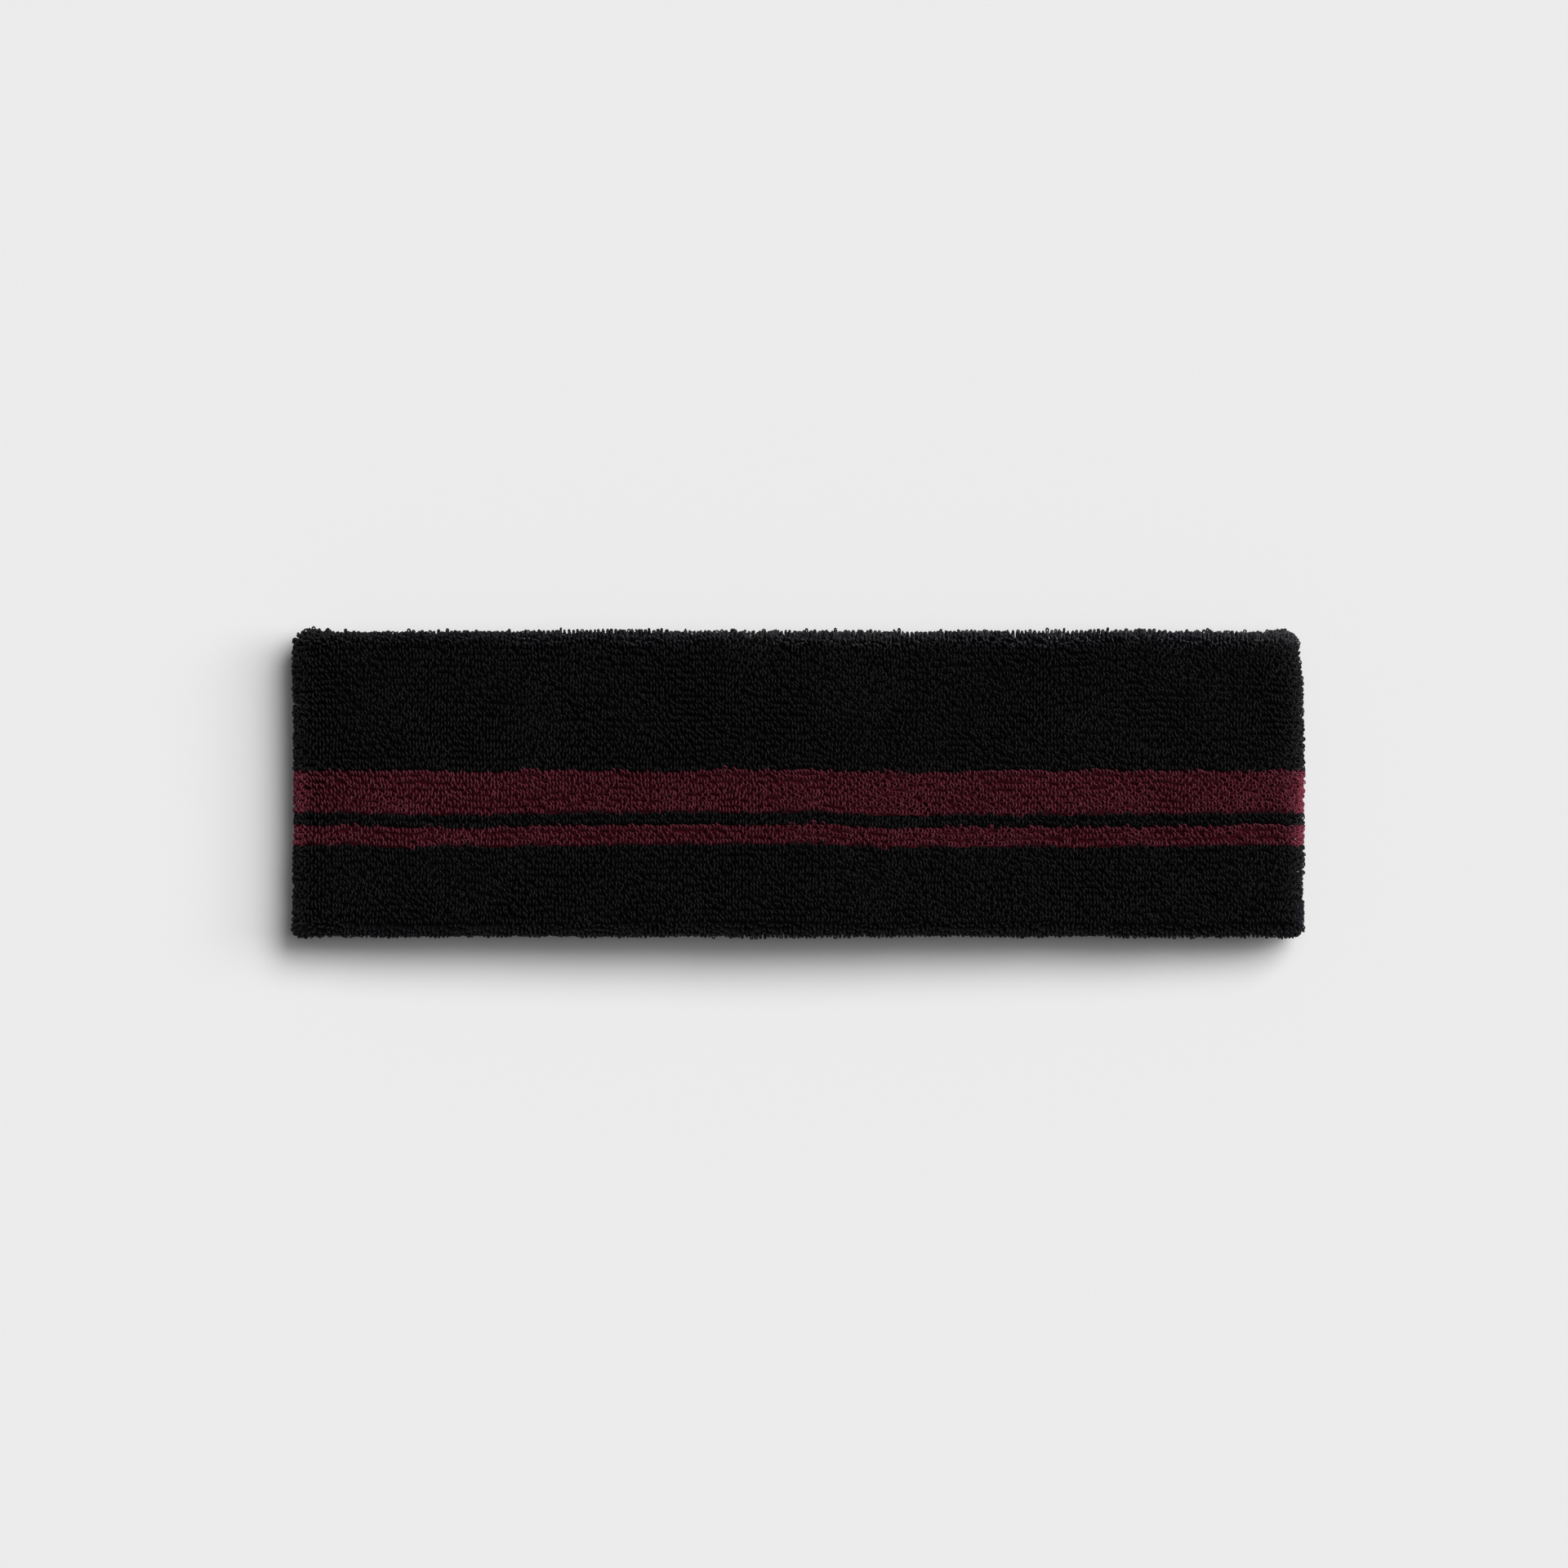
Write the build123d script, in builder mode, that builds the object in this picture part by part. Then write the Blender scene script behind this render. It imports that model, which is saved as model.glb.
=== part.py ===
from build123d import *
import os

# A terry sweat headband, lying flat on its side with its loop collapsed.
# +X runs along the band from fold to fold, +Y across its width, +Z up. The origin is under its middle.

# Driving dimensions, in millimetres
LENGTH = 180.0  # from end fold to end fold
WIDTH = 54.6  # from rim to rim
HEIGHT = 16.0  # crown of the upper leg above the surface it lies on
FOLD_RADIUS = 6.5  # outside of each end fold

# Layers of the double fabric, from the outside in
PILE = 2.0  # height of the terry loops, on the outside and on the lining
KNIT = 0.3  # one thickness of ground knit
CORE = 0.4  # space between the two thicknesses, where the elastic lies
OUTER_KNIT = PILE
CORE_START = OUTER_KNIT + KNIT
CORE_END = CORE_START + CORE
LINING_START = CORE_END + KNIT
THICKNESS = LINING_START + PILE

# Rims, where the folded tube turns from the outside to the lining
RIM = 2.5  # width of the pile that rolls over the fold
RIM_ROUND = 2.4  # rounding of the rim
KNIT_TURN = 0.5  # how far the ground knit reaches into the rim
RIM_LOW = WIDTH / 2 - RIM

# Colour zones across the outside, as heights along +Y
WIDE_STRIPE_TOP = 2.2
WIDE_STRIPE = 7.5
THIN_LINE = 2.2
NARROW_STRIPE = 3.5
THIN_LINE_TOP = WIDE_STRIPE_TOP - WIDE_STRIPE
NARROW_STRIPE_TOP = THIN_LINE_TOP - THIN_LINE
LOWER_FIELD_TOP = NARROW_STRIPE_TOP - NARROW_STRIPE

# Elastic threads and the closing seam
ELASTIC_DIAMETER = 0.36
ELASTIC_COUNT = 16
ELASTIC_PITCH = 3.0
SEAM = 2.4  # width of the seam's raised line on the skin side
SEAM_RISE = 1.4  # how far it stands out from the ground knit
SEAM_ROUND = 0.6
SEAM_GAP = 0.8  # between the two edges of the tube, filled by the seam's thread

# The end folds are half rounds, joined by a flat base and by one wide arc over the crown
FOLD_X = LENGTH / 2 - FOLD_RADIUS
CROWN_RISE = HEIGHT - FOLD_RADIUS
CROWN_RADIUS = (FOLD_X**2 + CROWN_RISE**2 - FOLD_RADIUS**2) / (2 * (CROWN_RISE - FOLD_RADIUS))
CROWN_CENTRE = Vector(0, HEIGHT - CROWN_RADIUS)
CROWN_END = (Vector(FOLD_X, FOLD_RADIUS) - CROWN_CENTRE).normalized()


def inside(depth, y):
    """The area inside the band's outline, moved in by depth, on the plane at y."""
    right = CROWN_CENTRE + CROWN_END * (CROWN_RADIUS - depth)
    with BuildSketch(Plane.XZ.offset(-y)) as area:
        with BuildLine():
            base = Line((-FOLD_X, depth), (FOLD_X, depth))
            fold = TangentArc(base @ 1, right, tangent=base % 1)
            crown = TangentArc(fold @ 1, (-right.X, right.Y), tangent=fold % 1)
            TangentArc(crown @ 1, base @ 0, tangent=crown % 1)
        make_face()
    return area.sketch


def layer(outer, inner, low, high):
    """A ring of the fabric between two depths, from low to high across the band."""
    extrude(inside(outer, high), amount=high - low)
    extrude(inside(inner, high), amount=high - low, mode=Mode.SUBTRACT)


def write(part, name):
    """Labels a finished piece and writes it to its own file."""
    part.label = name
    export_step(part, f"parts/{name}.step")


os.makedirs("parts", exist_ok=True)

# Outer pile, one ring of loops for each colour zone
ZONES = {
    "outer_upper_black_field": (WIDE_STRIPE_TOP, RIM_LOW),
    "outer_wide_burgundy_stripe": (THIN_LINE_TOP, WIDE_STRIPE_TOP),
    "outer_thin_black_line": (NARROW_STRIPE_TOP, THIN_LINE_TOP),
    "outer_narrow_burgundy_stripe": (LOWER_FIELD_TOP, NARROW_STRIPE_TOP),
    "outer_lower_black_field": (-RIM_LOW, LOWER_FIELD_TOP),
}
for zone, (low, high) in ZONES.items():
    with BuildPart() as outer_pile:
        layer(0, PILE, low, high)
    write(outer_pile.part, zone)

# Lining pile, on each side of the closing seam
for lining, low, high in (("lining_upper", SEAM / 2, RIM_LOW), ("lining_lower", -RIM_LOW, -SEAM / 2)):
    with BuildPart() as lining_pile:
        layer(LINING_START, THICKNESS, low, high)
    write(lining_pile.part, lining)

# Rims: pile over the whole thickness, rounded, with a groove that holds the turn of the ground knit
for rim, side in (("top_rolled_edge", 1), ("bottom_rolled_edge", -1)):
    low, high = sorted((side * RIM_LOW, side * WIDTH / 2))
    groove_low, groove_high = sorted((side * RIM_LOW, side * (RIM_LOW + KNIT_TURN)))
    with BuildPart() as rolled_edge:
        layer(0, THICKNESS, low, high)
        outer_face = rolled_edge.faces().sort_by(Axis.Y)[-1 if side > 0 else 0]
        fillet(outer_face.edges(), radius=RIM_ROUND)
        with BuildPart(mode=Mode.PRIVATE) as groove:
            layer(OUTER_KNIT, LINING_START, groove_low, groove_high)
        add(groove.part, mode=Mode.SUBTRACT)
    write(rolled_edge.part, rim)

# Ground knit: one tube folded in on itself, so two thicknesses, joined by a turn inside each rim
knit_end = RIM_LOW + KNIT_TURN
core_end = knit_end - KNIT
with BuildPart() as ground_knit:
    layer(OUTER_KNIT, LINING_START, -knit_end, knit_end)
    with BuildPart(mode=Mode.PRIVATE) as core:
        layer(CORE_START, CORE_END, -core_end, core_end)
    add(core.part, mode=Mode.SUBTRACT)
    with BuildPart(mode=Mode.PRIVATE) as seam_slot:
        layer(CORE_END, LINING_START, -SEAM_GAP / 2, SEAM_GAP / 2)
    add(seam_slot.part, mode=Mode.SUBTRACT)
write(ground_knit.part, "ground_knit")

# Elastic threads, laid round the loop between the two thicknesses of knit
elastic_depth = (CORE_START + CORE_END) / 2
with BuildPart() as elastic_threads:
    for index in range(ELASTIC_COUNT):
        y = (index - (ELASTIC_COUNT - 1) / 2) * ELASTIC_PITCH
        course = inside(elastic_depth, y).face().outer_wire()
        with BuildSketch(Plane(origin=(0, y, elastic_depth), x_dir=(0, 1, 0), z_dir=(1, 0, 0))) as yarn:
            Circle(ELASTIC_DIAMETER / 2)
        sweep(sections=yarn.sketch, path=course)
write(elastic_threads.part, "elastic_threads")

# Closing seam: a raised line of thread on the skin side, with a web between the two edges of the tube
with BuildPart() as closing_seam:
    layer(LINING_START, LINING_START + SEAM_RISE, -SEAM / 2, SEAM / 2)
    raised = closing_seam.faces().sort_by(Axis.Y)
    crest = raised[0].inner_wires()[0].edges() + raised[-1].inner_wires()[0].edges()
    fillet(crest, radius=SEAM_ROUND)
    with BuildPart(mode=Mode.PRIVATE) as web:
        layer(CORE_END, LINING_START, -SEAM_GAP / 2, SEAM_GAP / 2)
    add(web.part)
write(closing_seam.part, "closing_seam")
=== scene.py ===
import math
from typing import NamedTuple

import bpy
import numpy as np
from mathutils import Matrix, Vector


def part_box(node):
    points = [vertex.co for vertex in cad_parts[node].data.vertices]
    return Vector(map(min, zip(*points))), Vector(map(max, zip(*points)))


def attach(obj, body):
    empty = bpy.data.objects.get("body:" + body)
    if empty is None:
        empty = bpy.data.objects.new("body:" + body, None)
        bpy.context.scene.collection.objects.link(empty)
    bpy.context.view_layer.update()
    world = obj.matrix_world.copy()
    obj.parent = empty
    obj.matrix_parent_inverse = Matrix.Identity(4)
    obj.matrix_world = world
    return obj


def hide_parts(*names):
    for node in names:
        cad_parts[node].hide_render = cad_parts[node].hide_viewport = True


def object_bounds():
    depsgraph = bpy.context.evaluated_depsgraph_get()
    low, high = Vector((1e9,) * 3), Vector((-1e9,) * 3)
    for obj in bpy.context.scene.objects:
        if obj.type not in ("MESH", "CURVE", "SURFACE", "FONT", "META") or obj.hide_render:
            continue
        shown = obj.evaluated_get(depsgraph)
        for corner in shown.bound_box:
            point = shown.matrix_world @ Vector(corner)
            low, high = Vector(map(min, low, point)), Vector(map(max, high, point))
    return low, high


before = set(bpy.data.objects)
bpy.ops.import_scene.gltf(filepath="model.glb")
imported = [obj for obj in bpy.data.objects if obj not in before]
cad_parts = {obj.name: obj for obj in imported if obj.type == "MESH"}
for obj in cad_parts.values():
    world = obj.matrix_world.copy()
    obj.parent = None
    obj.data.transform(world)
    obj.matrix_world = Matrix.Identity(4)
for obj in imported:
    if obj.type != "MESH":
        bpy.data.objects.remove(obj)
cad_low, cad_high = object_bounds()

# A terry sweat headband lying flat. Metres. +X from fold to fold, +Y across the band, +Z up.
MM = 0.001
SEED = 20

# ---------------------------------------------------------------- sizes, from the frame
HALF_LENGTH = (cad_high.x - cad_low.x) / 2
HALF_WIDTH = (cad_high.y - cad_low.y) / 2
HEIGHT = cad_high.z
FOLD_RADIUS = 6.5 * MM  # outside of each end fold, as in the CAD model
FOLD_X = HALF_LENGTH - FOLD_RADIUS
CROWN_RISE = HEIGHT - FOLD_RADIUS
CROWN_RADIUS = (FOLD_X**2 + CROWN_RISE**2 - FOLD_RADIUS**2) / (2 * (CROWN_RISE - FOLD_RADIUS))
CROWN_Z = HEIGHT - CROWN_RADIUS
CROWN_ANGLE = math.atan2(FOLD_RADIUS - CROWN_Z, FOLD_X)

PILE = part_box("ground_knit")[0].z  # from the outer surface to the ground knit
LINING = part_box("lining_upper")[0].z  # from the outer surface to the lining's foot
MIDDLE = (PILE + LINING) / 2  # middle of the double fabric
KNIT_HALF = (LINING - PILE) / 2
RIM_Y = HALF_WIDTH - MIDDLE  # centre of each rim's half round


def zone(node):
    """The lowest and highest y of a colour zone."""
    low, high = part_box(node)
    return low.y, high.y


# ---------------------------------------------------------------- shape of the band
class Ring:
    """The closed line round the collapsed band, at one depth below its outer surface."""

    def __init__(self, depth):
        self.depth = depth
        self.fold = FOLD_RADIUS - depth
        self.crown = CROWN_RADIUS - depth
        turn = math.pi / 2 + CROWN_ANGLE
        crown_turn = math.pi - 2 * CROWN_ANGLE
        spans = (2 * FOLD_X, self.fold * turn, self.crown * crown_turn, self.fold * turn)
        self.ends = np.cumsum(spans)
        self.length = self.ends[-1]

    def at(self, s):
        """The point and the outward normal, each as x and z, at a distance s along the line."""
        s = np.mod(s, self.length)
        base_end, right_end, crown_end, _ = self.ends
        right = -math.pi / 2 + (s - base_end) / self.fold
        crown = CROWN_ANGLE + (s - right_end) / self.crown
        left = math.pi - CROWN_ANGLE + (s - crown_end) / self.fold
        spans = [s < base_end, s < right_end, s < crown_end]
        angle = np.select(spans, [np.full_like(s, -math.pi / 2), right, crown], left)
        nx, nz = np.cos(angle), np.sin(angle)
        radius = np.select(spans, [np.zeros_like(s), self.fold + 0 * s, self.crown + 0 * s], self.fold)
        cx = np.select(spans, [s - FOLD_X, FOLD_X + 0 * s, 0 * s], -FOLD_X)
        cz = np.select(spans, [self.depth + 0 * s, FOLD_RADIUS + 0 * s, CROWN_Z + 0 * s], FOLD_RADIUS)
        return cx + radius * nx, cz + radius * nz, nx, nz


# Loops stand evenly along the line of tips, so they crowd at their feet where a fold spreads them
TIPS_DEPTH = 0.7 * MM
RING = Ring(MIDDLE)
TIPS = Ring(TIPS_DEPTH)


def foot_place(s):
    """The place on the middle line that lies under the place s on the line of tips."""
    laps = np.floor(s / TIPS.length)
    rest = s - laps * TIPS.length
    return laps * RING.length + np.interp(rest, np.append(0, TIPS.ends), np.append(0, RING.ends))


def smooth_step(low, high, value):
    """0 below low, 1 above high, and a smooth ramp between."""
    t = np.clip((value - low) / (high - low), 0, 1)
    return t * t * (3 - 2 * t)


FIELD_SPAN = 0.12  # how far a field of noise reaches across the band
FIELD_EDGE = 0.9999  # keeps a place on the field's far edge inside its last cell


class Field:
    """Seeded noise from -1 to 1, smooth in two directions. It repeats along the first, which runs round
    the band."""

    def __init__(self, seed, cells, across):
        self.values = np.random.default_rng(seed).uniform(-1, 1, (cells, across))
        self.cells, self.across = cells, across

    def __call__(self, s, v):
        u = np.mod(s / RING.length, 1) * self.cells
        w = np.clip(v / FIELD_SPAN + 0.5, 0, FIELD_EDGE) * (self.across - 1)
        i, j = np.floor(u).astype(int), np.floor(w).astype(int)
        fu, fw = u - i, w - j
        fu, fw = fu * fu * (3 - 2 * fu), fw * fw * (3 - 2 * fw)
        a, b = i % self.cells, (i + 1) % self.cells
        low = self.values[a, j] * (1 - fu) + self.values[b, j] * fu
        high = self.values[a, j + 1] * (1 - fu) + self.values[b, j + 1] * fu
        return low * (1 - fw) + high * fw


# The right fold slopes in towards the top rim, and the bottom rim pushes out at its corners
END_REACH = 1.2 * FOLD_RADIUS  # how much of each end of the band moves
TOP_PULL = 0.3 * MM
RIGHT_SLOPE = 0.7 * MM
SLOPE_START, SLOPE_END = 3 * MM, 12 * MM  # from the rim
BOTTOM_RIGHT_PUSH = 0.4 * MM
BOTTOM_LEFT_PUSH = 0.9 * MM


def corner_pull(x, y):
    """How far the end folds draw in near a rim, for the foot of a row at y."""
    inset = HALF_WIDTH - np.abs(y)
    rim = 1 - smooth_step(PILE, MIDDLE, inset)
    slope = 1 - smooth_step(SLOPE_START, SLOPE_END, inset)
    top = TOP_PULL * rim + np.where(x > 0, RIGHT_SLOPE * slope, 0)
    bottom = -np.where(x > 0, BOTTOM_RIGHT_PUSH, BOTTOM_LEFT_PUSH) * rim
    return np.where(y > 0, top, bottom)


def draw_in(points):
    """Moves the feet of the rows, or the ground knit, in at the corners."""
    x, y = points[..., 0], points[..., 1]
    end = smooth_step(HALF_LENGTH - END_REACH, HALF_LENGTH - PILE, np.abs(x)) * np.sign(x)
    moved = points.copy()
    moved[..., 0] = x - end * corner_pull(x, y)
    return moved


# The waves of the upper leg, with the lengths along x and y in which each one turns a radian
SAG = 0.16 * MM  # how far the upper leg drops, on average
LONG_WAVE = (19 * MM, 31 * MM)
SHORT_WAVE = (11.3 * MM, 17 * MM)
UPPER_START, UPPER_END = 0.4 * HEIGHT, 0.7 * HEIGHT  # the sides of the loop, between the two legs

# The furrow beside the top rim
FURROW = 0.45 * MM
FURROW_INSET = 3.4 * MM
FURROW_WIDTH = 1.1 * MM
FURROW_LEFT = 0.25  # share of its depth that is left in the middle of the band
FURROW_START, FURROW_END = 0.45 * HALF_LENGTH, 0.9 * HALF_LENGTH

# How rims and folds wander, with the lengths in which a long and a short wave turn a radian
RIM_STRAY = 0.14 * MM
RIM_WAVES = (13.5 * MM, 5.2 * MM)
END_STRAY = 0.1 * MM
END_WAVES = (6.1 * MM, 2.7 * MM)
SHORT_SHARE = 0.6  # of a short wave, beside its long one
FLOOR_GAP = 0.02 * MM  # the least height of any point


def settle(points):
    """Moves points as the soft band settles: the upper leg undulates, with a furrow beside its top rim,
    and the rims and folds wander a little. The phases of the waves are arbitrary."""
    x, y, z = points[..., 0], points[..., 1], points[..., 2]
    upper = smooth_step(UPPER_START, UPPER_END, z)
    wave = np.sin(x / LONG_WAVE[0] + y / LONG_WAVE[1] + 0.7)
    wave += np.sin(x / SHORT_WAVE[0] - y / SHORT_WAVE[1] + 2.1)
    rim = smooth_step(0.5 * HALF_WIDTH, HALF_WIDTH, np.abs(y)) * np.sign(y)
    rim_wave = np.sin(x / RIM_WAVES[0] + np.sign(y) + 3 * upper)
    rim_wave += SHORT_SHARE * np.sin(x / RIM_WAVES[1] + 2 * upper)
    inset = HALF_WIDTH - np.abs(y)
    near_end = smooth_step(FURROW_START, FURROW_END, np.abs(x))
    furrow = np.exp(-(((inset - FURROW_INSET) / FURROW_WIDTH) ** 2)) * (y > 0)
    furrow *= FURROW_LEFT + (1 - FURROW_LEFT) * near_end
    end = smooth_step(0.9 * HALF_LENGTH, HALF_LENGTH, np.abs(x)) * np.sign(x)
    end_wave = np.sin(y / END_WAVES[0] + np.sign(x)) + SHORT_SHARE * np.sin(y / END_WAVES[1])
    drop = SAG * (2 + wave) / 2 + FURROW * furrow
    height = np.maximum(z - upper * drop, FLOOR_GAP)
    return np.stack([x + END_STRAY * end * end_wave, y + RIM_STRAY * rim * rim_wave, height], axis=-1)


# ---------------------------------------------------------------- yarn
LEAN = Field(SEED + 1, 60, 18)
TURN = Field(SEED + 2, 90, 26)
TALL = Field(SEED + 3, 120, 30)
WANDER = Field(SEED + 4, 26, 8)
ROW_STRAY = 0.35 * MM
FACING_STEP = 2 * MM  # how far apart rows that face different ways lie in the fields, for each radian


def wander(s, y):
    """How far a row strays across the band, so that the edges of the stripes aren't quite straight."""
    return ROW_STRAY * WANDER(s, y)


# Shape of a loop
TOP_DETAIL = 0.55  # how far a loop's points crowd towards its top, from 0 to 1
SQUARENESS = 0.75  # below 1, a loop is fuller than a circle
FOOT_WIDTH = 0.45  # at its foot, as a share of its width
OVAL = 0.16  # how far the yarn's section is from round, as a share of its radius
OVAL_TURNS = 1.1  # how often that section turns along a loop

# How loops change where a fold spreads them
FOLD_SPLAY = 1.0  # how far they turn at random, in radians
FOLD_RISE = 0.12  # how much further they reach
FOLD_UPRIGHT = 0.8  # how much of their lean they lose

# How single loops differ, as shares of their sizes, or in radians
PLACE_JITTER = 0.05
HEIGHT_JITTER = 0.06
HEIGHT_DRIFT = 0.05  # from place to place
WIDTH_JITTER = 0.1
TURN_JITTER = 0.3  # as a share of the pile's spread
LEAN_JITTER = 0.04
NOD_JITTER = 0.1  # of the top across the row
TWIST = 0.3  # from foot to top
SCATTER = 0.18 * MM  # of the top across the row
STRAY_SHARE = 0.1  # share of loops that stand proud, where the pile has them


class Pile(NamedTuple):
    """How the loops of one kind of row stand. Lengths in metres, angles in radians."""

    pitch: float  # from one loop to the next
    height: float
    half_width: float
    yarn: float  # radius of the yarn
    steps: int  # points along a loop
    sides: int  # points round the yarn
    turned: float  # from a plane across the row
    spread: float  # how far that turn varies from place to place
    lean: float  # along the row
    sway: float  # how far the lean varies from place to place
    stray: float = 0.0  # how much further proud loops reach
    splay: float = 0.0  # how far each loop turns at random


class Loops(NamedTuple):
    """The places and shapes of a row's loops, one value of each for a loop."""

    starts: np.ndarray
    places: np.ndarray
    height: np.ndarray
    half: np.ndarray
    turned: np.ndarray
    lean: np.ndarray
    nod: np.ndarray
    twist: np.ndarray
    scatter: np.ndarray
    tone: np.ndarray


def turns_of(pile):
    """How many loops a row has."""
    return int(round(TIPS.length / pile.pitch))


def random_loops(pile, v, seed):
    """The loops of a row that lies at v in the fields. The order of the random draws matters."""
    rng = np.random.default_rng(seed)
    turns = turns_of(pile)
    pitch = TIPS.length / turns
    starts = (np.arange(turns) + rng.uniform(-PLACE_JITTER, PLACE_JITTER, turns)) * pitch
    places = foot_place(starts)
    fields = places, v + 0 * places
    fold = smooth_step(FOLD_X, HALF_LENGTH - PILE, np.abs(RING.at(places)[0]))

    def bell():
        return rng.standard_normal(turns)

    height = pile.height * (1 + HEIGHT_JITTER * bell().clip(-2, 2) + HEIGHT_DRIFT * TALL(*fields))
    height *= 1 + pile.stray * (rng.random(turns) < STRAY_SHARE)
    height *= 1 + FOLD_RISE * fold
    half = pile.half_width * (1 + WIDTH_JITTER * bell().clip(-2, 2))
    turned = pile.turned + pile.spread * (TURN(*fields) + TURN_JITTER * bell())
    turned += (pile.splay + FOLD_SPLAY * fold) * rng.uniform(-1, 1, turns)
    lean = pile.lean + pile.sway * LEAN(*fields) + LEAN_JITTER * bell()
    lean *= 1 - FOLD_UPRIGHT * fold
    nod = NOD_JITTER * bell()
    twist = TWIST * rng.uniform(-1, 1, turns)
    scatter = SCATTER * bell().clip(-2, 2)
    return Loops(starts, places, height, half, turned, lean, nod, twist, scatter, rng.random(turns))


def yarn_round(line, side, thickness, around):
    """The points of a closed yarn round its line. side points away from the line at each point."""
    ahead = np.roll(line, -1, axis=0) - np.roll(line, 1, axis=0)
    ahead /= np.linalg.norm(ahead, axis=1, keepdims=True)
    first = side - (side * ahead).sum(1, keepdims=True) * ahead
    first /= np.linalg.norm(first, axis=1, keepdims=True)
    second = np.cross(ahead, first)
    cosine, sine = np.cos(around)[None, :, None], np.sin(around)[None, :, None]
    ring = cosine * first[:, None] + sine * second[:, None]
    return line[:, None] + thickness[..., None] * ring


Y_AXIS = np.array([0.0, 1.0, 0.0])


def course(pile, y, offset, facing, seed):
    """One row of loops: a yarn that coils round the band, its feet in the ground knit. y and offset
    place the row's foot on the section, and facing is the angle from the band's normal towards +Y."""
    v = y + FACING_STEP * facing
    loops = random_loops(pile, v, seed)
    turns = len(loops.starts)
    spans = np.append(loops.starts[1:], loops.starts[0] + TIPS.length) - loops.starts
    even = np.arange(pile.steps) / pile.steps
    t = even + TOP_DETAIL * np.sin(2 * math.pi * even) / (2 * math.pi)
    s = foot_place(loops.starts[:, None] + spans[:, None] * t)

    phase = 2 * math.pi * t
    up = (1 - np.cos(phase)) / 2
    swing = np.sign(np.sin(phase)) * np.abs(np.sin(phase)) ** SQUARENESS
    swing *= FOOT_WIDTH + (1 - FOOT_WIDTH) * up

    px, pz, nx, nz = RING.at(s)
    zero = np.zeros_like(px)
    ring_normal = np.stack([nx, zero, nz], axis=-1)
    along = np.stack([-nz, zero, nx], axis=-1)
    normal = math.cos(facing) * ring_normal + math.sin(facing) * Y_AXIS
    across = -math.sin(facing) * ring_normal + math.cos(facing) * Y_AXIS

    def column(values):
        return values[:, None]

    row_wander = wander(s, v + 0 * s) * abs(math.cos(facing))
    foot = draw_in(np.stack([px, y + zero, pz], axis=-1) + offset * ring_normal)
    foot += row_wander[..., None] * Y_AXIS + (column(loops.scatter) * up)[..., None] * across
    turned, lean = column(loops.turned), column(loops.lean)
    angle = turned + column(loops.twist) * up
    plane = np.cos(angle)[..., None] * across + np.sin(angle)[..., None] * along
    side = -np.sin(turned)[..., None] * across + np.cos(turned)[..., None] * along
    rise = column(loops.height) * up
    line = foot + (column(loops.half) * swing)[..., None] * plane
    line += (rise * np.cos(lean))[..., None] * normal
    line += (rise * np.sin(lean) * np.sqrt(up))[..., None] * side
    line += (rise * column(loops.nod))[..., None] * across

    turn = np.tile(2 * math.pi * OVAL_TURNS * t, turns)
    around = 2 * math.pi * np.arange(pile.sides) / pile.sides
    thickness = pile.yarn * (1 + OVAL * np.cos(2 * (around[None, :] + turn[:, None])))
    points = settle(yarn_round(line.reshape(-1, 3), side.reshape(-1, 3), thickness, around))
    tone = np.repeat(loops.tone, pile.steps * pile.sides)
    # How far up its loop each point is, which sets the painted shade at the loops' feet.
    depth = np.tile(np.repeat(up, pile.sides), turns)
    # How much lighter each loop is painted: the highlight along the top rim, and the folds.
    edge_lightening = np.repeat(rim_highlight_and_pale_folds(RING.at(loops.places)[0], y), pile.steps * pile.sides)
    return points.reshape(-1, 3), turns, tone, depth, edge_lightening


# Painted highlight along the top rim, which faces the light: strongest at its right end, nearest the
# light, and weakest at its left. Both folds are painted a little lighter as well.
RIM_HIGHLIGHT = 0.6  # in the middle of the top rim
RIM_HIGHLIGHT_SLOPE = 0.47  # how much more it is at its right end, and less at its left
RIM_HIGHLIGHT_START, RIM_HIGHLIGHT_END = 3.4 * MM, 2.4 * MM  # from the rim
FOLD_LIGHTENING = 0.22
FOLD_LIGHTENING_START, FOLD_LIGHTENING_END = 4.5 * MM, 2.6 * MM  # from the end of the fold


def rim_highlight_and_pale_folds(x, y):
    """How much lighter the pile is painted, from 0 to 1: a painted highlight along the top rim, where
    the light falls, and a little lighter at both folds.
    """
    rim = smooth_step(HALF_WIDTH - RIM_HIGHLIGHT_START, HALF_WIDTH - RIM_HIGHLIGHT_END, y)
    fold = smooth_step(HALF_LENGTH - FOLD_LIGHTENING_START, HALF_LENGTH - FOLD_LIGHTENING_END, np.abs(x))
    rim_highlight = (RIM_HIGHLIGHT + RIM_HIGHLIGHT_SLOPE * x / HALF_LENGTH).clip(0, 1)
    return np.maximum(rim * rim_highlight, FOLD_LIGHTENING * fold)


CELLS = 52  # loops along each side of the bake map
CELL_MARGIN = 0.08


def tube_faces(rings, sides, first):
    """The quads of a closed tube of rings, whose vertices start at first."""
    k, j = np.meshgrid(np.arange(rings), np.arange(sides), indexing="ij")
    k2, j2 = (k + 1) % rings, (j + 1) % sides
    quads = np.stack([k * sides + j, k2 * sides + j, k2 * sides + j2, k * sides + j2], axis=-1)
    return quads.reshape(-1, 4) + first


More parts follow.
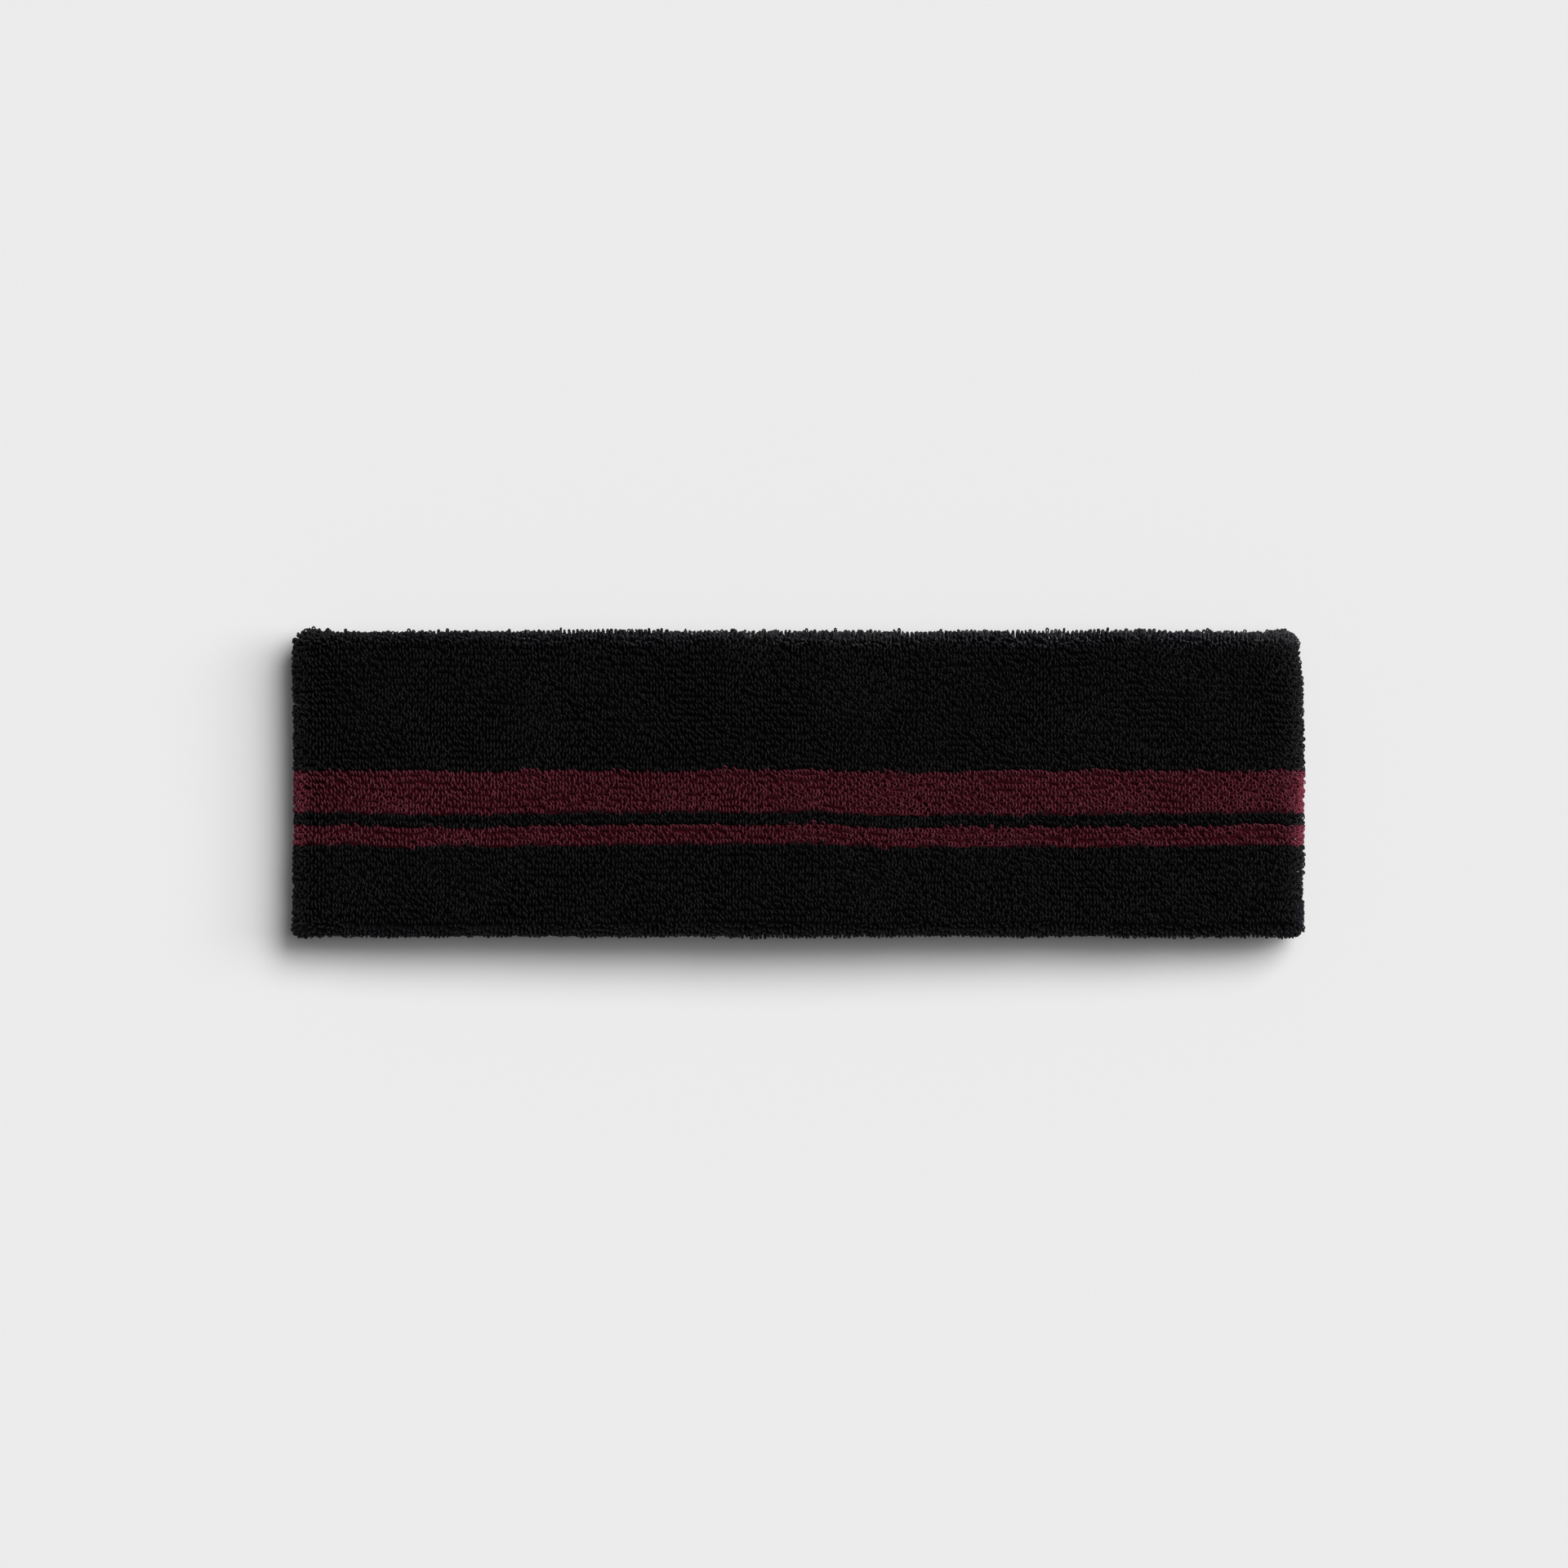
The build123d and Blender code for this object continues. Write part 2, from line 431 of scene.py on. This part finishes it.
def loop_uvs(turns, steps, sides, cell):
    """One square cell of the bake map for each loop of a row: along the yarn, and round it."""
    i, k, j = np.meshgrid(np.arange(turns), np.arange(steps), np.arange(sides), indexing="ij")
    u = np.stack([k, k + 1, k + 1, k], axis=-1) / steps
    w = np.stack([j, j, j + 1, j + 1], axis=-1) / sides
    number = i[..., None] + cell
    u = (number % CELLS + CELL_MARGIN + (1 - 2 * CELL_MARGIN) * u) / CELLS
    w = (number // CELLS + CELL_MARGIN + (1 - 2 * CELL_MARGIN) * w) / CELLS
    return np.stack([u, w], axis=-1).reshape(-1, 2)


def add_mesh(name, points, faces, material, uvs=None, attributes=()):
    """A smooth mesh object of quads, with its bake map and point values."""
    mesh = bpy.data.meshes.new(name)
    mesh.vertices.add(len(points))
    mesh.vertices.foreach_set("co", np.ascontiguousarray(points, dtype=np.float32).ravel())
    mesh.loops.add(faces.size)
    mesh.loops.foreach_set("vertex_index", faces.astype(np.int32).ravel())
    mesh.polygons.add(len(faces))
    mesh.polygons.foreach_set("loop_start", np.arange(0, faces.size, 4, dtype=np.int32))
    mesh.polygons.foreach_set("use_smooth", np.ones(len(faces), dtype=bool))
    if uvs is not None:
        layer = mesh.uv_layers.new(name="OFBake")
        layer.data.foreach_set("uv", uvs.astype(np.float32).ravel())
    for key, values in attributes:
        attribute = mesh.attributes.new(key, "FLOAT", "POINT")
        attribute.data.foreach_set("value", values.astype(np.float32))
    mesh.update(calc_edges=True)
    mesh.validate()
    mesh.materials.append(material)
    piece = bpy.data.objects.new(name, mesh)
    bpy.context.scene.collection.objects.link(piece)
    return piece


def rows_piece(name, rows, material, node):
    """One piece made of several rows of loops, standing for a CAD node."""
    points, faces, uvs, tones, foot_shade_heights, edge_lightening = [], [], [], [], [], []
    first = cell = 0
    for pile, y, offset, facing, seed in rows:
        made, turns, tone, depth, lightening = course(pile, y, offset, facing, seed)
        points.append(made)
        faces.append(tube_faces(turns * pile.steps, pile.sides, first))
        uvs.append(loop_uvs(turns, pile.steps, pile.sides, cell))
        tones.append(tone)
        foot_shade_heights.append(depth)
        edge_lightening.append(lightening)
        first += len(made)
        cell += turns
    named = (("tone", tones), ("rise", foot_shade_heights), ("rim_highlight_and_pale_folds", edge_lightening))
    values = [(key, np.concatenate(parts)) for key, parts in named]
    shape = np.concatenate(points), np.concatenate(faces)
    piece = add_mesh(name, *shape, material, np.concatenate(uvs), values)
    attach(piece, "root")
    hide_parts(node)
    return piece


# ---------------------------------------------------------------- materials
TWISTS = 6  # turns of the plies along one loop's yarn
LIGHTENING_GAIN = 5.5  # how many times lighter the yarn is painted where the painted highlight is strongest
WHITE = (1, 1, 1)


def new_material(name):
    """An empty material with its Principled node."""
    material = bpy.data.materials.new(name)
    material.use_nodes = True
    return material, material.node_tree, material.node_tree.nodes["Principled BSDF"]


def ramp(tree, source, stops):
    """A colour ramp driven by a value."""
    node = tree.nodes.new("ShaderNodeValToRGB")
    for index, (place, colour) in enumerate(stops):
        stop = node.color_ramp.elements[index] if index < 2 else node.color_ramp.elements.new(place)
        stop.position, stop.color = place, (*colour, 1)
    tree.links.new(source, node.inputs[0])
    return node.outputs[0]


def multiply(tree, first, second):
    """Two colours multiplied."""
    node = tree.nodes.new("ShaderNodeMix")
    node.data_type, node.blend_type = "RGBA", "MULTIPLY"
    node.inputs[0].default_value = 1.0
    tree.links.new(first, node.inputs[6])
    tree.links.new(second, node.inputs[7])
    return node.outputs[2]


def noise(tree, scale):
    """Noise in the object's own space. scale is in features a metre."""
    place = tree.nodes.new("ShaderNodeTexCoord")
    node = tree.nodes.new("ShaderNodeTexNoise")
    node.inputs["Scale"].default_value = scale
    node.inputs["Detail"].default_value = 2.0
    tree.links.new(place.outputs["Object"], node.inputs["Vector"])
    return node.outputs[0]


def value(tree, name):
    """A value stored on the mesh's points."""
    node = tree.nodes.new("ShaderNodeAttribute")
    node.attribute_name = name
    return node.outputs["Fac"]


def diagonal_wave(tree, scale, distortion):
    """Slanting bands, from dark to light and back like a sine."""
    wave = tree.nodes.new("ShaderNodeTexWave")
    wave.wave_type, wave.bands_direction, wave.wave_profile = "BANDS", "DIAGONAL", "SIN"
    wave.inputs["Scale"].default_value = scale
    wave.inputs["Distortion"].default_value = distortion
    return wave


def twist(tree):
    """The lines of the yarn's twisted plies, from the bake map, where each loop's yarn runs along u."""
    place = tree.nodes.new("ShaderNodeUVMap")
    place.uv_map = "OFBake"
    turn = tree.nodes.new("ShaderNodeMapping")
    cell = CELLS / (1 - 2 * CELL_MARGIN)
    turn.inputs["Scale"].default_value = (TWISTS * cell, 2 * cell, 1)
    wave = diagonal_wave(tree, 2 * math.pi / 10, 0.6)
    tree.links.new(place.outputs["UV"], turn.inputs["Vector"])
    tree.links.new(turn.outputs["Vector"], wave.inputs["Vector"])
    return wave.outputs["Fac"]


def rough_and_bumpy(tree, shader, height, low, high, distance):
    """Roughness between low and high, and a bump, both driven by a height."""
    rough = tree.nodes.new("ShaderNodeMapRange")
    rough.inputs["To Min"].default_value = high
    rough.inputs["To Max"].default_value = low
    tree.links.new(height, rough.inputs["Value"])
    tree.links.new(rough.outputs[0], shader.inputs["Roughness"])
    bump = tree.nodes.new("ShaderNodeBump")
    bump.inputs["Strength"].default_value = 0.7
    bump.inputs["Distance"].default_value = distance
    tree.links.new(height, bump.inputs["Height"])
    tree.links.new(bump.outputs[0], shader.inputs["Normal"])


def terry(name, dark, light, foot, specular, patch):
    """Cotton terry yarn: each loop has its own tone, its foot is painted darker for the shade deep in
    the pile, its plies are twisted, with painted shade in the grooves between them, the dye varies from
    full to the colour of the darker patches, and it is painted lighter: a highlight along the top rim,
    where the light falls, and a little lighter at the folds."""
    material, tree, shader = new_material(name)
    # The tones are raised here, and the ramp of the painted highlight below takes them back down away
    # from the top rim and the folds.
    dark, light = ([LIGHTENING_GAIN * channel for channel in colour] for colour in (dark, light))
    tone = ramp(tree, value(tree, "tone"), ((0.0, dark), (1.0, light)))
    # Painted shade: each loop's yarn is darker towards its foot, deep in the pile, where the shade
    # falls.
    rise = ramp(tree, value(tree, "rise"), ((0.05, (foot, foot, foot)), (0.8, WHITE)))
    dye = ramp(tree, noise(tree, 40), ((0.36, patch), (0.62, WHITE)))
    plies = twist(tree)
    # Painted shade: the yarn is darker in the grooves between its twisted plies.
    lines = ramp(tree, plies, ((0.0, (0.7, 0.7, 0.7)), (0.6, WHITE)))
    # Painted highlight: lighter along the top rim, where the light falls, and a little lighter at the
    # folds.
    lightening = ramp(tree, value(tree, "rim_highlight_and_pale_folds"), ((0.0, (1 / LIGHTENING_GAIN,) * 3), (1.0, WHITE)))
    colour = multiply(tree, multiply(tree, tone, rise), multiply(tree, dye, lines))
    colour = multiply(tree, colour, lightening)
    tree.links.new(colour, shader.inputs["Base Color"])
    rough_and_bumpy(tree, shader, plies, 0.55, 0.8, 0.03 * MM)
    shader.inputs["Specular IOR Level"].default_value = specular
    return material


def wound_thread(name, dark, light, turns, specular):
    """Thread whose fibres wind round it, painted darker in the grooves between the windings. turns is
    how many dark lines there are in a metre.
    """
    material, tree, shader = new_material(name)
    place = tree.nodes.new("ShaderNodeTexCoord")
    wave = diagonal_wave(tree, 2 * math.pi / 20 * turns, 1.5)
    tree.links.new(place.outputs["Object"], wave.inputs["Vector"])
    # Painted shade: the thread is darker in the grooves between its windings.
    lines = ramp(tree, wave.outputs["Fac"], ((0.1, dark), (0.8, light)))
    dye = ramp(tree, noise(tree, 400), ((0.3, (0.75, 0.75, 0.76)), (0.7, WHITE)))
    tree.links.new(multiply(tree, lines, dye), shader.inputs["Base Color"])
    rough_and_bumpy(tree, shader, wave.outputs["Fac"], 0.45, 0.7, 0.04 * MM)
    shader.inputs["Specular IOR Level"].default_value = specular
    return material


def plain_knit(name, colour):
    """Fine ground knit in its zone's colour, painted darker than the pile's yarn for the shade between
    the loops.
    """
    material, tree, shader = new_material(name)
    dye = ramp(tree, noise(tree, 700), ((0.35, tuple(0.6 * c for c in colour)), (0.65, colour)))
    tree.links.new(dye, shader.inputs["Base Color"])
    rough_and_bumpy(tree, shader, noise(tree, 1800), 0.85, 1.0, 0.05 * MM)
    shader.inputs["Specular IOR Level"].default_value = 0.1
    return material


# foot is how dark the painted shade makes each loop's foot.
BLACK = terry(
    "black_terry_yarn",
    dark=(0.0038, 0.0038, 0.0044),
    light=(0.0104, 0.0104, 0.0113),
    foot=0.3,
    specular=0.15,
    patch=(0.76, 0.78, 0.92),
)
BURGUNDY = terry(
    "burgundy_terry_yarn",
    dark=(0.098, 0.0106, 0.0213),
    light=(0.13, 0.0223, 0.0377),
    foot=0.85,
    specular=0.2,
    patch=(0.84, 0.8, 0.82),
)
# The ground knit's colours are painted darker than the yarn of the pile above them, for the shade at
# the bottom of the pile.
BLACK_KNIT = plain_knit("black_ground_knit", (0.0015, 0.0015, 0.0017))
BURGUNDY_KNIT = plain_knit("burgundy_ground_knit", (0.05, 0.002, 0.006))
ELASTIC = wound_thread("elastic_yarn_cover", (0.012, 0.012, 0.013), (0.03, 0.03, 0.032), 1500, 0.3)
SEAM = wound_thread("seam_thread_twist", (0.004, 0.004, 0.0045), (0.014, 0.014, 0.0155), 2200, 0.25)

# ---------------------------------------------------------------- pile
FACE = Pile(
    pitch=0.58 * MM,
    height=1.7 * MM,
    half_width=0.54 * MM,
    yarn=0.14 * MM,
    steps=7,
    sides=5,
    turned=0.4,
    spread=0.5,
    lean=-0.56,
    sway=0.25,
)
TOP_RIM = Pile(
    pitch=0.75 * MM,
    height=1.75 * MM,
    half_width=0.43 * MM,
    yarn=0.165 * MM,
    steps=10,
    sides=5,
    turned=1.15,
    spread=0.3,
    lean=-0.1,
    sway=0.4,
    stray=0.2,
    splay=0.8,
)
BOTTOM_RIM = TOP_RIM._replace(half_width=0.46 * MM, yarn=0.15 * MM, stray=0.0, splay=0.6)
INSIDE = Pile(
    pitch=1.1 * MM,
    height=1.9 * MM,
    half_width=0.65 * MM,
    yarn=0.21 * MM,
    steps=6,
    sides=4,
    turned=0.0,
    spread=0.7,
    lean=0.3,
    sway=0.6,
)
ROW = 1.08 * MM  # from one row to the next
LINING_ROW = 1.5 * MM
PER_PIECE = 4  # rows in a piece, at most
LINING_PER_PIECE = 8
FIELD_SEEDS, LINING_SEEDS, RIM_SEEDS = 1000, 7000, 9000
SEED_STEP, RIM_SEED_STEP = 1000, 100  # from one zone to the next


def field_pieces(node, name, pile, pitch, facing, per_piece, material, seed):
    """The rows of one zone, shared out over as many pieces as keep each mesh at full detail."""
    low, high = zone(node)
    count = max(1, round((high - low) / pitch))
    places = low + (np.arange(count) + 0.5) * (high - low) / count
    offset = KNIT_HALF * math.cos(facing)
    rows = [(pile, y, offset, facing, seed + index) for index, y in enumerate(places)]
    groups = np.array_split(np.arange(count), math.ceil(count / per_piece))
    for number, group in enumerate(groups, 1):
        label = name if len(groups) == 1 else f"{name}_{number}"
        chosen = [rows[index] for index in group]
        rows_piece(label, chosen, material, node)


OUTER = (
    ("outer_upper_black_field", "upper_field_pile", BLACK, "black_terry"),
    ("outer_wide_burgundy_stripe", "wide_stripe_pile", BURGUNDY, "burgundy_terry"),
    ("outer_thin_black_line", "thin_line_pile", BLACK, "black_terry"),
    ("outer_narrow_burgundy_stripe", "narrow_stripe_pile", BURGUNDY, "burgundy_terry"),
    ("outer_lower_black_field", "lower_field_pile", BLACK, "black_terry"),
)
for index, (node, name, material, slot) in enumerate(OUTER):
    seed = FIELD_SEEDS + SEED_STEP * index
    field_pieces(node, name, FACE, ROW, 0.0, PER_PIECE, material, seed)

LININGS = (
    ("lining_upper", "lining_upper_pile"),
    ("lining_lower", "lining_lower_pile"),
)
for index, (node, name) in enumerate(LININGS):
    seed = LINING_SEEDS + SEED_STEP * index
    field_pieces(node, name, INSIDE, LINING_ROW, math.pi, LINING_PER_PIECE, BLACK, seed)

RIM_ROWS = 7
RIM_GROUPS = ((0, 4), (4, 7))  # the first row of each piece, and the row after its last
RIMS = (
    ("top_rolled_edge", "top_rim_pile", TOP_RIM, 1),
    ("bottom_rolled_edge", "bottom_rim_pile", BOTTOM_RIM, -1),
)
for index, (node, name, pile, side) in enumerate(RIMS):
    rim_rows = []
    for number in range(RIM_ROWS):
        angle = side * math.pi * (number + 0.5) / RIM_ROWS
        y = side * RIM_Y + KNIT_HALF * math.sin(angle)
        seed = RIM_SEEDS + RIM_SEED_STEP * index + number
        rim_rows.append((pile, y, KNIT_HALF * math.cos(angle), angle, seed))
    for group, (start, end) in enumerate(RIM_GROUPS, 1):
        piece = rows_piece(f"{name}_{group}", rim_rows[start:end], BLACK, node)

# ---------------------------------------------------------------- ground knit
KNIT_THICKNESS = 0.3 * MM
KNIT_STEPS = 480  # points round the band
INNER_STEPS = 34  # across the skin side of the knit
TURN_STEPS = 4  # round each rim


def section():
    """The ground knit's section, round both rims: y, and the offset from the middle of the fabric. The
    outer face has points where the colour zones meet."""
    narrow_low = zone("outer_narrow_burgundy_stripe")[0]
    wide_high = zone("outer_wide_burgundy_stripe")[1]
    borders = [-RIM_Y, narrow_low, *zone("outer_thin_black_line"), wide_high, RIM_Y]
    spans = []
    for low, high in zip(borders, borders[1:]):
        count = max(2, round((high - low) / ROW))
        spans.append(np.linspace(low, high, count, endpoint=False))
    outer = np.concatenate(spans)
    inner = np.linspace(RIM_Y, -RIM_Y, INNER_STEPS, endpoint=False)
    turn = np.linspace(0, math.pi, TURN_STEPS, endpoint=False)
    round_rim = RIM_Y + KNIT_HALF * np.sin(turn)
    y = np.concatenate([outer, round_rim, inner, -round_rim])
    cosines = np.concatenate([np.ones_like(outer), np.cos(turn), -np.ones_like(inner), -np.cos(turn)])
    return y, KNIT_HALF * cosines


def ground_knit():
    """The tube of ground knit, folded in on itself: one closed sheet, in the yarns of each zone."""
    y, offset = section()
    s = np.linspace(0, RING.length, KNIT_STEPS, endpoint=False)
    px, pz, nx, nz = RING.at(s)
    x = px[:, None] + nx[:, None] * offset
    z = pz[:, None] + nz[:, None] * offset
    points = draw_in(np.stack([x, np.broadcast_to(y, x.shape), z], axis=-1))
    places, rows = np.broadcast_arrays(s[:, None], y)
    points[..., 1] += wander(places, rows) * (np.abs(rows) < RIM_Y)
    faces = tube_faces(len(s), len(y), 0)
    piece = add_mesh("ground_knit_cloth", settle(points).reshape(-1, 3), faces, BLACK_KNIT)
    piece.data.materials.append(BURGUNDY_KNIT)
    middle = (y + np.roll(y, -1)) / 2
    outside = offset >= KNIT_HALF
    red = np.zeros(len(y), dtype=bool)
    for stripe in ("outer_wide_burgundy_stripe", "outer_narrow_burgundy_stripe"):
        low, high = zone(stripe)
        red |= outside & (middle > low) & (middle < high)
    piece.data.polygons.foreach_set("material_index", np.tile(red, len(s)).astype(np.int32))
    thick = piece.modifiers.new("knit", "SOLIDIFY")
    thick.thickness = KNIT_THICKNESS
    thick.offset = -1
    return piece


knit = ground_knit()
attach(knit, "root")
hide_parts("ground_knit")

# ---------------------------------------------------------------- elastic threads and closing seam
ELASTIC_COUNT = 16
ELASTIC_PITCH = 3.0 * MM
ELASTIC_HALF = 0.18 * MM
CORD_STEPS = 480  # points round the band
ELASTIC_SIDES = 6
STRIPS = 4  # lengths that each cord is cut into on the bake map
STRIP_SHARE = 0.9  # of a strip's height that its cord fills
SEAM_DEPTH = KNIT_HALF + 0.7 * MM  # from the middle of the fabric to the middle of the seam
SEAM_CORE = (0.95 * MM, 0.5 * MM)  # half width and half height of the closed edges inside the stitches
SEAM_SIDES = 10
STITCH = 1.3 * MM  # from one stitch to the next
STITCH_STEPS = 12
STITCH_SIDES = 4
THREAD = 0.12 * MM  # radius of the thread


def cord(y, offset, half_across, half_deep, sides):
    """The points of a closed cord of oval section, laid round the band."""
    s = np.linspace(0, RING.length, CORD_STEPS, endpoint=False)
    px, pz, nx, nz = RING.at(s)
    around = 2 * math.pi * np.arange(sides) / sides
    reach = offset + half_deep * np.sin(around)
    x = px[:, None] + nx[:, None] * reach
    z = pz[:, None] + nz[:, None] * reach
    across = (y + wander(s, y + 0 * s))[:, None] - half_across * np.cos(around)
    return settle(draw_in(np.stack([x, across, z], axis=-1))).reshape(-1, 3)


def strip_uvs(sides, first_strip, strips, low=0.0, high=1.0):
    """A cord's place on the bake map: it is cut into STRIPS lengths, laid one above the other."""
    k, j = np.meshgrid(np.arange(CORD_STEPS), np.arange(sides), indexing="ij")
    part = CORD_STEPS // STRIPS
    u = (np.stack([k, k + 1, k + 1, k], axis=-1) - (k // part * part)[..., None]) / part
    w = STRIP_SHARE * np.stack([j, j, j + 1, j + 1], axis=-1) / sides
    w += first_strip + (k // part)[..., None]
    return np.stack([u, low + (high - low) * w / strips], axis=-1).reshape(-1, 2)


def elastic_threads():
    """The covered rubber yarns between the two thicknesses of knit."""
    points, faces, uvs = [], [], []
    for index in range(ELASTIC_COUNT):
        y = (index - (ELASTIC_COUNT - 1) / 2) * ELASTIC_PITCH
        points.append(cord(y, 0.0, ELASTIC_HALF, ELASTIC_HALF, ELASTIC_SIDES))
        faces.append(tube_faces(CORD_STEPS, ELASTIC_SIDES, index * CORD_STEPS * ELASTIC_SIDES))
        uvs.append(strip_uvs(ELASTIC_SIDES, index * STRIPS, ELASTIC_COUNT * STRIPS))
    return np.concatenate(points), np.concatenate(faces), np.concatenate(uvs)


def closing_seam():
    """The closed edges of the tube, with a thread wound over them stitch by stitch."""
    core = cord(0.0, -SEAM_DEPTH, *SEAM_CORE, SEAM_SIDES)
    core_uvs = strip_uvs(SEAM_SIDES, 0, STRIPS, 0.5, 1.0)
    turns = round(RING.length / STITCH)
    s = np.arange(turns * STITCH_STEPS) / (turns * STITCH_STEPS) * RING.length
    phase = 2 * math.pi * np.arange(turns * STITCH_STEPS) / STITCH_STEPS
    px, pz, nx, nz = RING.at(s)
    zero = np.zeros_like(px)
    normal = np.stack([nx, zero, nz], axis=-1)
    over = (SEAM_CORE[0] + THREAD) * np.cos(phase)
    deep = (SEAM_CORE[1] + THREAD) * np.sin(phase) - SEAM_DEPTH
    line = np.stack([px, over + wander(s, zero), pz], axis=-1) + deep[:, None] * normal
    side = np.cos(phase)[:, None] * Y_AXIS + np.sin(phase)[:, None] * normal
    around = 2 * math.pi * np.arange(STITCH_SIDES) / STITCH_SIDES
    thickness = np.full((len(line), STITCH_SIDES), THREAD)
    thread = settle(draw_in(yarn_round(line, side, thickness, around))).reshape(-1, 3)
    faces = (tube_faces(CORD_STEPS, SEAM_SIDES, 0), tube_faces(len(line), STITCH_SIDES, len(core)))
    uvs = (core_uvs, loop_uvs(turns, STITCH_STEPS, STITCH_SIDES, 0))
    return np.concatenate((core, thread)), np.concatenate(faces), np.concatenate(uvs)


INNER = (
    ("elastic_threads", "elastic_yarns", elastic_threads, ELASTIC, "elastic_yarn"),
    ("closing_seam", "closing_seam_stitches", closing_seam, SEAM, "seam_thread"),
)
for node, name, make, material, slot in INNER:
    points, faces, uvs = make()
    piece = add_mesh(name, points, faces, material, uvs)
    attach(piece, "root")
    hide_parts(node)

# ---------------------------------------------------------------- camera, light and floor
VIEW_WIDTH = 0.2787  # across the picture, at the band's height
CAMERA_RISE = 1.25
CAMERA_X = -0.0026
SENSOR = 36.0  # in the camera's own millimetres
FLOOR_HALF = 12.0


def add_camera():
    """A long lens straight above the band, with +Y at the top of the picture."""
    data = bpy.data.cameras.new("camera")
    data.sensor_width = SENSOR
    data.lens = data.sensor_width * (CAMERA_RISE - HEIGHT / 2) / VIEW_WIDTH
    camera = bpy.data.objects.new("camera", data)
    camera.location = (CAMERA_X, 0, CAMERA_RISE)
    bpy.context.scene.collection.objects.link(camera)
    bpy.context.scene.camera = camera


def add_sun(name, azimuth, elevation, size, strength):
    """A distant soft light. azimuth is from +X towards +Y, in degrees, and size is its angle across."""
    data = bpy.data.lights.new(name, "SUN")
    data.angle = math.radians(size)
    data.energy = strength
    lamp = bpy.data.objects.new(name, data)
    lamp.rotation_euler = (0, math.radians(90 - elevation), math.radians(azimuth))
    bpy.context.scene.collection.objects.link(lamp)


def add_world(seen, fill):
    """A plain pale room: what the camera sees past the floor, and the weaker light it sheds."""
    world = bpy.data.worlds.new("room")
    world.use_nodes = True
    tree = world.node_tree
    background = tree.nodes["Background"]
    background.inputs["Color"].default_value = (1, 1, 1, 1)
    background.inputs["Strength"].default_value = fill
    shown = tree.nodes.new("ShaderNodeBackground")
    shown.inputs["Color"].default_value = (seen, seen, seen, 1)
    path = tree.nodes.new("ShaderNodeLightPath")
    mix = tree.nodes.new("ShaderNodeMixShader")
    tree.links.new(path.outputs["Is Camera Ray"], mix.inputs[0])
    tree.links.new(background.outputs[0], mix.inputs[1])
    tree.links.new(shown.outputs[0], mix.inputs[2])
    tree.links.new(mix.outputs[0], tree.nodes["World Output"].inputs["Surface"])
    bpy.context.scene.world = world


def add_floor():
    """A wide plain pale floor."""
    signs = np.array([(-1, -1, 0), (1, -1, 0), (1, 1, 0), (-1, 1, 0)])
    material, tree, shader = new_material("floor_paint")
    shader.inputs["Base Color"].default_value = (0.8, 0.8, 0.8, 1)
    shader.inputs["Roughness"].default_value = 1.0
    shader.inputs["Specular IOR Level"].default_value = 0.0
    floor = add_mesh("floor", FLOOR_HALF * signs, np.array([[0, 1, 2, 3]]), material)


add_camera()
add_sun("key_light", azimuth=45, elevation=55, size=32, strength=2.13)
add_sun("soft_light", azimuth=42, elevation=72, size=50, strength=0.75)
add_sun("side_light", azimuth=12, elevation=37, size=30, strength=1.1)
add_world(seen=0.83, fill=0.05)
add_floor()
bpy.context.scene.view_settings.view_transform = "Standard"
